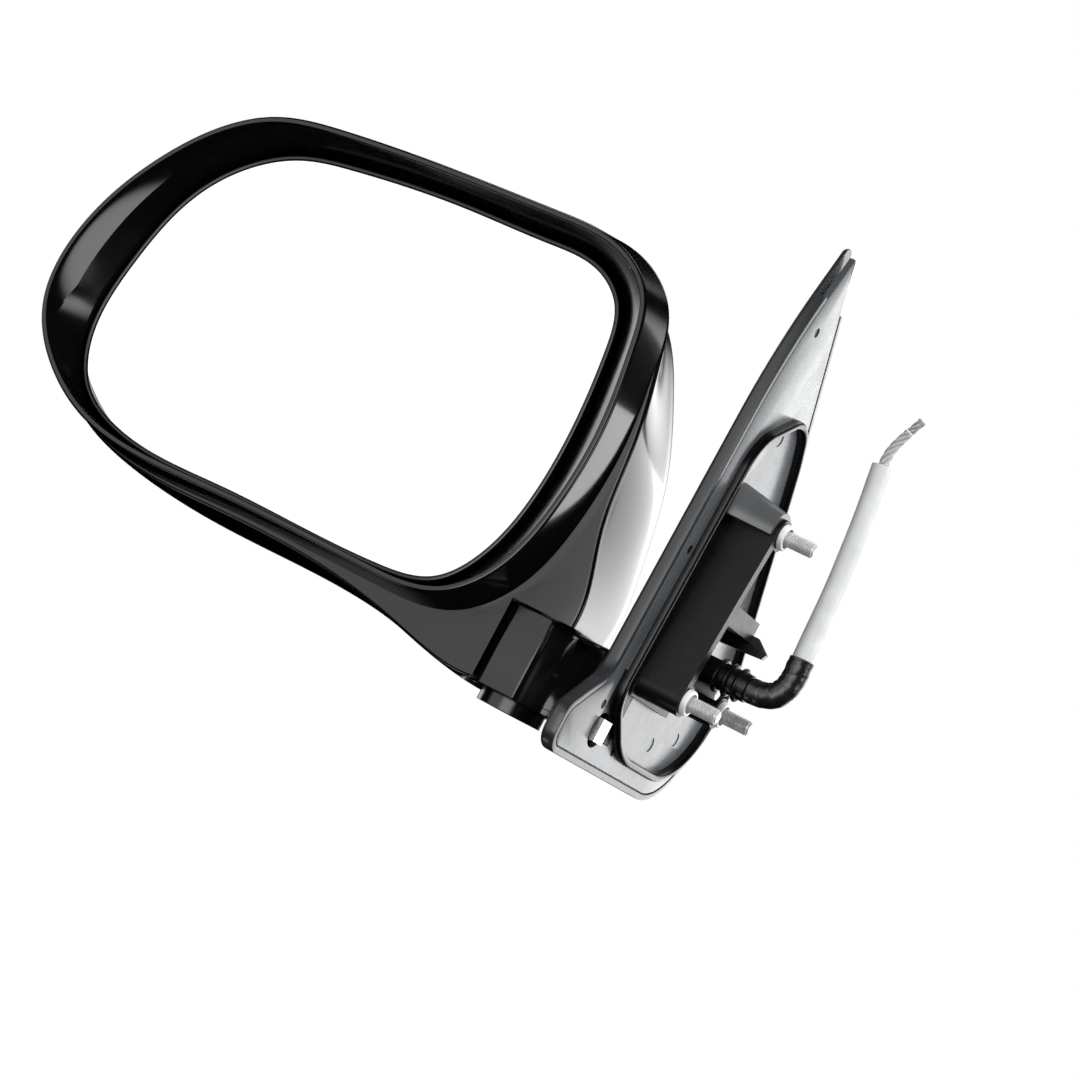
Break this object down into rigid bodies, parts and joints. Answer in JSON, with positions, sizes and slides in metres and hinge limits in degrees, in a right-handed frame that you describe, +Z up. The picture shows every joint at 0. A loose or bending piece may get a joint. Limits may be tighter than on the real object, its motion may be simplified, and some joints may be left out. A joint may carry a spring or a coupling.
{
  "type": "car side mirror",
  "caption": "Left-hand door mirror with a power-adjusted glass, a folding head on a triangular sail base with studs, a door seal and a short cable.",
  "frame": {"origin": "on the door mounting face, in the middle of the three studs", "axes": "+X inboard along the studs, +Y towards the front of the car, +Z up; the glass looks along -Y"},
  "size_m": [0.3403, 0.1392, 0.217],
  "materials": {
    "housing_black": "smooth black moulding",
    "bezel_black": "glossy black moulding",
    "plate_grey": "satin grey moulding",
    "casting_black": "black painted die casting",
    "zinc_plate": "bright zinc plate",
    "white_nylon": "white nylon",
    "rubber_black": "soft black rubber",
    "screw_black": "blackened steel",
    "clip_black": "black acetal",
    "steel": "plain steel",
    "wrap_black": "black heat-shrink",
    "sleeve_pale": "pale grey cable sleeve",
    "tinned_wire": "bare tinned wire",
    "bracket_alloy": "raw die casting",
    "drive_plastic": "black drive housing",
    "motor_can": "steel can",
    "holder_black": "black glass holder",
    "foam_grey": "adhesive foam",
    "mirror": "silvered glass"
  },
  "bodies": {
    "base": {"sail_cover": "housing_black", "sail_plate": "plate_grey", "base_casting": "casting_black", "knuckle_cover": "housing_black", "stud_gusset": "plate_grey", "stud_upper": "zinc_plate", "stud_rear": "zinc_plate", "stud_front": "zinc_plate", "collar_upper": "white_nylon", "collar_rear": "white_nylon", "collar_front": "white_nylon", "door_gasket": "rubber_black", "cover_screw_1": "screw_black", "cover_screw_2": "screw_black", "cover_screw_3": "screw_black", "cover_screw_4": "screw_black", "foot_bolt": "zinc_plate", "cable_grommet": "rubber_black", "locating_hook": "clip_black", "locator_pin": "white_nylon", "pivot_post": "steel", "pivot_washer": "white_nylon", "fold_spring": "steel", "spring_washer": "steel", "post_nut": "zinc_plate", "cable_wrap": "wrap_black", "cable_sleeve": "sleeve_pale", "wire_tails": "tinned_wire"},
    "head": {"head_shell": "housing_black", "bezel": "bezel_black", "pivot_bracket": "bracket_alloy", "drive_case": "drive_plastic", "drive_cover": "drive_plastic", "motor_pan": "motor_can", "motor_tilt": "motor_can", "housing_screw_1": "zinc_plate", "housing_screw_2": "zinc_plate", "housing_screw_3": "zinc_plate", "drive_screw_1": "zinc_plate", "drive_screw_2": "zinc_plate", "drive_screw_3": "zinc_plate"},
    "gimbal": {"pivot_ball": "white_nylon"},
    "glass": {"glass_holder": "holder_black", "adhesive_pad": "foam_grey", "mirror_glass": "mirror"},
    "plunger_pan": {"plunger_pan": "white_nylon"},
    "plunger_tilt": {"plunger_tilt": "white_nylon"}
  },
  "joints": [
    {"name": "head_fold", "type": "hinge", "parent": "base", "child": "head", "pos_m": [-0.059, -0.019, -0.0315], "axis": [0, 0, 1], "range_deg": [-50, 50]},
    {"name": "glass_pan", "type": "hinge", "parent": "head", "child": "gimbal", "pos_m": [-0.18154, -0.031, 0.0252], "axis": [0, 0, 1], "range_deg": [-8, 8]},
    {"name": "glass_tilt", "type": "hinge", "parent": "gimbal", "child": "glass", "pos_m": [-0.18154, -0.031, 0.0252], "axis": [1, 0, 0], "range_deg": [-8, 8]},
    {"name": "plunger_pan_slide", "type": "slide", "parent": "head", "child": "plunger_pan", "axis": [0, 1, 0], "range_m": [-0.004, 0.004]},
    {"name": "plunger_tilt_slide", "type": "slide", "parent": "head", "child": "plunger_tilt", "axis": [0, 1, 0], "range_m": [-0.004, 0.004]}
  ],
  "couplings": [
    {"joint": "plunger_pan_slide", "follows": "glass_pan", "m_per_rad": -0.028},
    {"joint": "plunger_tilt_slide", "follows": "glass_tilt", "m_per_rad": 0.028}
  ]
}
